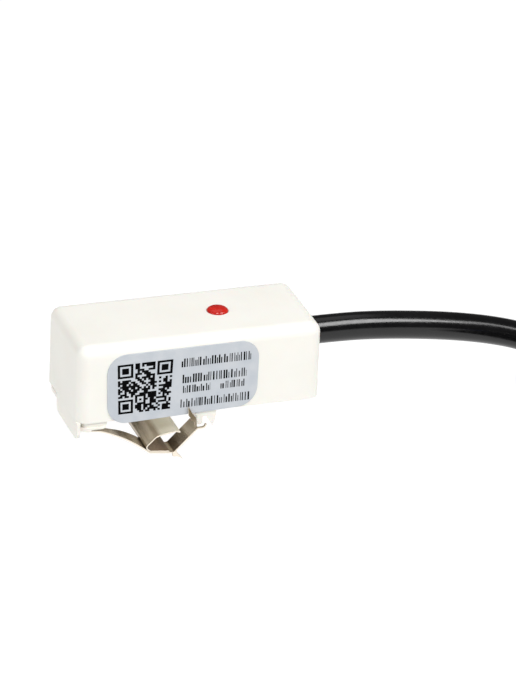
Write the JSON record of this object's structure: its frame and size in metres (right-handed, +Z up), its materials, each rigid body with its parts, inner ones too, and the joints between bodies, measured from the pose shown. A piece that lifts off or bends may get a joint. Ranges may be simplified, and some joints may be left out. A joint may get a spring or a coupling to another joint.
{
  "type": "non-contact liquid level sensor",
  "caption": "Small white clip-on level sensor for a plastic pipe, with a red status light, a spring clip under its saddle and a black cable.",
  "frame": {"origin": "middle of the sensing face, the flat underside between the feet that the pipe is held against", "axes": "+X along the housing towards the end where the cable leaves, -Y the labelled front, +Z up from the sensing face to the side with the light"},
  "size_m": [0.1127, 0.0548, 0.0188],
  "materials": {
    "white_plastic": "fine satin",
    "base_plastic": "fine satin",
    "label_film": "satin film",
    "red_lens": "glossy, lightly diffusing",
    "tinned_wire": "bright tin",
    "board_laminate": "lacquered",
    "copper": "plain copper",
    "black_epoxy": "matt moulded",
    "ceramic": "fired",
    "solder": "bright solder",
    "brown_insulation": "satin",
    "yellow_insulation": "satin",
    "blue_insulation": "satin",
    "black_insulation": "satin",
    "potting_resin": "cast",
    "black_jacket": "satin",
    "tie_plastic": "satin",
    "spring_steel": "rolled strip"
  },
  "bodies": {
    "root": {"housing_shell": "white_plastic", "base_cover": "base_plastic", "front_label": "label_film", "status_led": "red_lens", "led_leads": "tinned_wire", "circuit_board": "board_laminate", "sensing_electrode": "copper", "contact_spring": "copper", "controller_chip": "black_epoxy", "voltage_regulator": "black_epoxy", "output_transistor": "black_epoxy", "protection_diode": "black_epoxy", "capacitors": "ceramic", "resistors": "black_epoxy", "solder_joints": "solder", "core_brown": "brown_insulation", "core_yellow": "yellow_insulation", "core_blue": "blue_insulation", "core_black": "black_insulation", "cable_seal": "potting_resin", "cable_jacket": "black_jacket", "cable_coil": "black_jacket", "coil_tie": "tie_plastic", "cable_tail": "black_jacket", "lead_brown": "brown_insulation", "lead_yellow": "yellow_insulation", "lead_blue": "blue_insulation", "lead_black": "black_insulation", "lead_tips": "tinned_wire", "clip_band": "spring_steel", "pressure_leaf": "spring_steel"}
  },
  "joints": []
}
